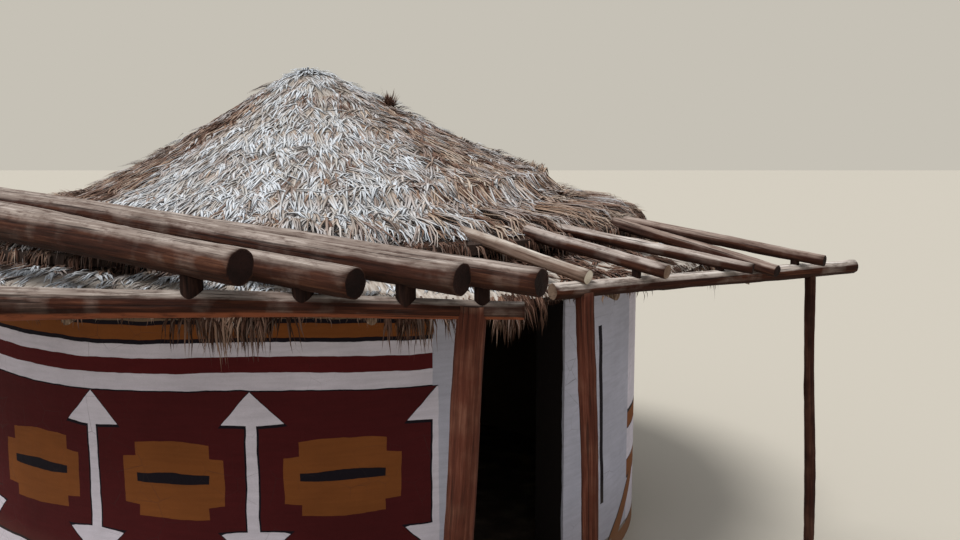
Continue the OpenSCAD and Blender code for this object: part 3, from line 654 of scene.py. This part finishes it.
def bladeMesh(name, line, width, tone, ageAndShade):  # line holds each blade's points from root to tip
    count, steps = line.shape[:2]
    along = np.gradient(line, axis=1)
    sideways = np.cross(along, (0.0, 0.0, 1.0))
    sideways /= np.maximum(np.linalg.norm(sideways, axis=2, keepdims=True), 1e-6)
    upward = np.cross(sideways, along)
    upward /= np.maximum(np.linalg.norm(upward, axis=2, keepdims=True), 1e-6)
    taper = np.interp(np.linspace(0, 1, steps), (0, 0.5, 1), bladeShape["widths"])
    half = width[:, None, None] / 2 * taper[None, :, None]
    ridge = line + upward * half * bladeShape["thickness"]
    rings = np.stack([line + sideways * half, line - sideways * half, ridge], axis=2)
    body = rings[:, :-1].reshape(count, -1, 3)
    verts = np.concatenate([body, line[:, -1:]], axis=1)
    perBlade = verts.shape[1]
    faces = [(0, 2, 1)]
    for low in range(0, 3 * (steps - 2), 3):
        for i in range(3):
            j = (i + 1) % 3
            faces += [(low + i, low + j, low + 3 + j), (low + i, low + 3 + j, low + 3 + i)]
    last = 3 * (steps - 2)
    faces += [(last + i, last + (i + 1) % 3, perBlade - 1) for i in range(3)]
    corners = (np.array(faces)[None] + (np.arange(count) * perBlade)[:, None, None]).reshape(-1)
    mesh = bpy.data.meshes.new(name)
    mesh.vertices.add(count * perBlade)
    mesh.vertices.foreach_set("co", verts.reshape(-1).astype(np.float32))
    mesh.loops.add(len(corners))
    mesh.loops.foreach_set("vertex_index", corners.astype(np.int32))
    mesh.polygons.add(len(corners) // 3)
    mesh.polygons.foreach_set("loop_start", np.arange(0, len(corners), 3, dtype=np.int32))
    mesh.update(calc_edges=True)
    share = np.append(np.repeat(np.linspace(0, 1, steps)[:-1], 3), 1.0)
    strandData = np.empty((count, perBlade, 3), np.float32)
    strandData[..., 0] = tone[:, None]
    strandData[..., 1] = share[None]
    strandData[..., 2] = ageAndShade[:, None]
    layer = mesh.attributes.new("strand", "FLOAT_VECTOR", "POINT")
    layer.data.foreach_set("vector", strandData.reshape(-1))
    return mesh


def patchNoise(plan, size, seed):  # smooth random patches about one size across, from 0 to 1
    shift = seed * patchLook["seedStep"]
    return np.array([noise.noise(Vector((x / size + shift, y / size, shift))) for x, y in plan]) * 0.5 + 0.5


def smoothStep(value, low, high):
    share = np.clip((value - low) / (high - low), 0, 1)
    return share * share * (3 - 2 * share)


def strawTones(plan, rng, look):
    seed = look["seed"] % patchLook["seeds"]
    angle = np.degrees(np.arctan2(plan[:, 0], -plan[:, 1]))
    reach = np.hypot(plan[:, 0], plan[:, 1])
    sides = []
    for turn, (turns, distances, _) in ((angle, flanks["right"]), (-angle, flanks["left"])):
        sides.append(smoothStep(turn, *turns) * smoothStep(reach, *distances)
                     * (1 - smoothStep(turn, *flanks["fadeOut"])))
    patches = patchNoise(plan, patchLook["size"], seed)
    fine = patchNoise(plan, patchLook["fineSize"], seed + patchLook["fineSeed"])
    brown = look["ageAndShadeBias"] + flanks["right"][2] * sides[0] + flanks["left"][2] * sides[1]
    brown = brown + (patches - patchLook["middle"]) * patchLook["ageAndShade"] + (fine - 0.5) * patchLook["fineAge"]
    brown += look["lowAge"] * smoothStep(reach, *look["lowFrom"])
    tone = rng.normal(*patchLook["tone"], len(plan)) + (fine - 0.5) * patchLook["fineTone"]
    tone -= flanks["leftTone"] * sides[1]
    if "shadeSide" in look:  # painted shade: dark straw under the eave and behind the short poles
        behind = smoothStep(angle, *look["shadeSide"]) * (1 - smoothStep(angle, *shadeLook["fadeOut"]))
        shade = np.maximum(behind, 1 - smoothStep(reach, *look["shadeWithin"]))
        brown += shade * shadeLook["ageAndShade"]
        tone -= shade * shadeLook["tone"]
    ageAndShade = np.clip(brown + rng.normal(0, patchLook["ageSpread"], len(plan)), 0, 1)
    return np.clip(tone, 0, 1), ageAndShade


def layStraws(name, surface, look):  # stems lie in tufts that share a heading, a lift, and an age with painted shade
    rng = np.random.default_rng(look["seed"])
    centre = np.array(look["centre"])
    tufts = look["count"] // look["tuft"]
    count = tufts * look["tuft"]
    turn = np.radians(rng.uniform(*look["turns"], tufts))
    if "clumps" in look:  # each clump is a plan angle and its spread
        chosen = np.array(look["clumps"])[rng.integers(0, len(look["clumps"]), tufts)]
        turn = np.radians(rng.normal(chosen[:, 0], chosen[:, 1]))
    root = np.sqrt(rng.uniform(look["reach"][0] ** 2, look["reach"][1] ** 2, tufts))
    tuftStart = np.stack([np.sin(turn), -np.cos(turn)], axis=1) * root[:, None] + centre
    tone, ageAndShade = strawTones(tuftStart, rng, look)
    member = np.repeat(np.arange(tufts), look["tuft"])
    start = tuftStart[member] + rng.normal(0, look["spread"], (count, 2))
    yaw = rng.normal(0, look["yaw"], tufts)[member] + rng.normal(0, stemShape["yaw"], count)
    heading = turn[member] + np.radians(yaw)
    heading = np.stack([np.sin(heading), -np.cos(heading)], axis=1)
    length = rng.uniform(*look["length"], tufts)[member] * rng.uniform(*stemShape["length"], count)
    rise = rng.uniform(0, 1, tufts) ** 2
    lift = rise[member] * look["lift"] + rng.uniform(*stemShape["lift"], count)
    flare = rng.uniform(*look["flare"], tufts)[member] if "flare" in look else 0.0
    ageAndShade = ageAndShade + stemShape["lowAge"] * (rise < stemShape["lowShare"])  # the lowest tufts are the oldest
    swing = rng.uniform(*look["swing"], tufts)[member] * rng.uniform(*stemShape["swing"], count)
    tone = np.clip(tone[member] + rng.normal(look["toneBias"], stemShape["tone"], count), 0, 1)
    ageAndShade = np.clip(ageAndShade[member] + rng.normal(0, stemShape["ageAndShade"], count), 0, 1)
    edge = look["edge"] + rng.uniform(-1, 1, tufts)[member] * look["edgeSpread"]
    line = np.empty((count, look["steps"], 3))
    for k, share in enumerate(np.linspace(0, 1, look["steps"])):
        spot = start + heading * (length * share)[:, None] - centre
        reach = np.maximum(np.hypot(spot[:, 0], spot[:, 1]), 1e-6)
        over = np.maximum(reach - edge, 0)
        kept = np.minimum(reach, edge - stemShape["inset"])
        outward = spot / reach[:, None]
        tall = heightsOn(surface, outward * kept[:, None] + centre, look["fallback"])
        swung = swing * (1 - np.exp(-over / swing))  # past the edge a stem bends over and hangs
        plan = outward * (kept + swung)[:, None] + centre
        if k == 0:
            rootTall, rootKept = tall, kept
        if "level" in look:  # these stems run out nearly level, clear of the slope, before they hang
            tall = np.maximum(tall, rootTall - (kept - rootKept) * look["level"])
        tall = tall - over + stemShape["slack"] * swung
        if "level" in look:
            tall = np.maximum(tall, heightsOn(surface, plan, 0) + stemShape["clear"])
        line[:, k, :2] = plan
        arch = math.sin(share * math.pi * stemShape["arch"])
        line[:, k, 2] = tall + lift * arch + flare * share - look["sink"]
    line[:, 1:] += rng.normal(0, look["stray"], (count, look["steps"] - 1, 3))
    width = rng.uniform(*look["width"], count)
    addPiece(name, bladeMesh(name, line, width, tone, ageAndShade), strawMaterial, "straw")
    print(name, count, "straws")


# Straw lengths, widths and distances from the roof's axis are in metres, and turns are in degrees.
upperThatch = thatchSurface(["thatch_cap", "thatch_upper_course", "thatch_eave_course"])
skirtThatch = thatchSurface(["thatch_skirt"])
strawBase = {"tuft": 5, "spread": 0.014, "yaw": 27, "length": (0.15, 0.27), "lift": 0.024, "steps": 3,
             "width": (0.011, 0.021), "swing": (0.03, 0.12), "edge": 2.095, "edgeSpread": 0.0,
             "centre": (0.017, 0.0), "turns": (-180, 180), "fallback": 1.86, "sink": 0.001,
             "stray": 0.004, "ageAndShadeBias": -0.16, "toneBias": 0.0, "lowFrom": (1.1, 1.9), "lowAge": 0.42}
layStraws("straws_cap", upperThatch, dict(
    strawBase, seed=101, count=7500, reach=(0.02, 0.85), lift=0.008, stray=0.003, length=(0.11, 0.20),
    centre=(0.0, 0.0)))
layStraws("straws_upper", upperThatch, dict(
    strawBase, seed=102, count=17500, reach=(0.70, 1.50), lift=0.010, stray=0.003))
layStraws("straws_lower_front", upperThatch, dict(
    strawBase, seed=103, count=12500, reach=(1.36, 1.82), lift=0.015, turns=(-100, 100)))
layStraws("straws_lower_rear", upperThatch, dict(
    strawBase, seed=104, count=9000, reach=(1.36, 1.82), turns=(100, 260)))
# Loose tufts whose tips stand off both flanks and the rear make the outline ragged.
layStraws("straws_loose", upperThatch, dict(
    strawBase, seed=111, count=3600, tuft=9, reach=(0.14, 1.98), yaw=34, length=(0.10, 0.20),
    flare=(0.015, 0.065), lift=0.012, spread=0.018, ageAndShadeBias=-0.35, toneBias=0.12, turns=(64, 306)))
# Long pale stems hang over the upper eave in clumps, with dark gaps behind and, under the eave, brown
# stems that are partly old straw and partly painted shade.
fringeBase = dict(strawBase, yaw=6, spread=0.008, stray=0.003, lift=0.012)
layStraws("straws_eave_fringe", upperThatch, dict(
    fringeBase, seed=105, count=4300, steps=6, tuft=6, reach=(1.64, 1.86), length=(0.32, 0.62), edge=1.98,
    edgeSpread=0.07, level=0.10, width=(0.010, 0.019), spread=0.007, ageAndShadeBias=-0.2))
layStraws("straws_eave_under", upperThatch, dict(
    fringeBase, seed=110, count=2600, steps=5, reach=(1.96, 2.08), length=(0.14, 0.26),
    width=(0.009, 0.015), swing=(0.012, 0.05), ageAndShadeBias=1.2, toneBias=-0.35))
# The lower skirt: pale on top, partly bleached straw and partly painted sunlight; painted dark as shade
# under the eave and behind the short poles, and brown and thin at its ragged edge.
skirtBase = dict(strawBase, edge=2.492, centre=(0.0, 0.0), fallback=1.66, swing=(0.05, 0.15), lift=0.010,
                 stray=0.003, lowAge=0.0)
layStraws("straws_skirt", skirtThatch, dict(
    skirtBase, seed=106, count=8000, reach=(1.98, 2.40), length=(0.09, 0.16), toneBias=0.35, ageAndShadeBias=-0.6,
    shadeSide=(29, 35), shadeWithin=(2.03, 2.13)))
# The edge stems and wisps are dark brown, partly old straw and partly painted shade.
skirtEdge = dict(skirtBase, steps=5, yaw=8, swing=(0.008, 0.035), ageAndShadeBias=1.7, toneBias=-0.35, lift=0.008,
                 width=(0.007, 0.012), sink=0.005)
layStraws("straws_skirt_edge", skirtThatch, dict(
    skirtEdge, seed=107, count=3000, reach=(2.45, 2.485), length=(0.05, 0.10)))
layStraws("straws_skirt_wisps", skirtThatch, dict(
    skirtEdge, seed=108, count=1100, reach=(2.44, 2.485), length=(0.14, 0.24), width=(0.009, 0.017),
    swing=(0.03, 0.08), toneBias=-0.42, clumps=[(0.5, 2.2), (3.5, 1.8), (19.5, 1.4), (30.0, 1.6),
                                                (75.0, 2.5), (150.0, 3.0), (215.0, 3.0), (290.0, 3.0)]))

# Stems that stand up: a pale knot of them at the apex and one dark old bunch on the right slope.
# Each bunch has its place in x and y, its count, its spread, its age and its range of tones.
standing = {"bunches": [(0.0, 0.0, 320, 0.12, 0.0, (0.5, 1.0)), (0.52, -0.08, 40, 0.018, 1.0, (0, 0.35))],
            "steps": 4, "length": (0.07, 0.14), "width": (0.012, 0.022), "rise": (0.08, 0.52),
            "root": 0.01, "peak": 2.8, "oldRise": 0.6, "oldShorter": 0.15, "upright": 0.6, "droop": 0.4}
rng = np.random.default_rng(109)
line, tone, ageAndShade = [], [], []
for x, y, count, spread, bunchAge, tones in standing["bunches"]:
    turn = rng.uniform(0, 2 * math.pi, count)
    away = np.stack([np.cos(turn), np.sin(turn)], axis=1)
    foot = away * (rng.uniform(0, spread, count))[:, None] + (x, y)
    ground = heightsOn(upperThatch, foot, standing["peak"]) - standing["root"]
    rise = rng.uniform(*standing["rise"], count) + standing["oldRise"] * bunchAge
    length = rng.uniform(*standing["length"], count) * (1 - standing["oldShorter"] * bunchAge)
    spots = []
    for k in range(standing["steps"]):
        share = k / (standing["steps"] - 1)
        out = away * (length * share * (1 - rise * standing["upright"]))[:, None]
        up = length * (share * rise - share * share * standing["droop"] * (1 - bunchAge))
        spots.append(np.concatenate([foot + out, (ground + up)[:, None]], axis=1))
    line.append(np.stack(spots, axis=1))
    tone.append(rng.uniform(*tones, count))
    ageAndShade.append(np.full(count, bunchAge))
line, tone, ageAndShade = (np.concatenate(part) for part in (line, tone, ageAndShade))
width = rng.uniform(*standing["width"], len(line))
addPiece("straws_standing", bladeMesh("straws_standing", line, width, tone, ageAndShade), strawMaterial, "straw")
print("thatch laid")
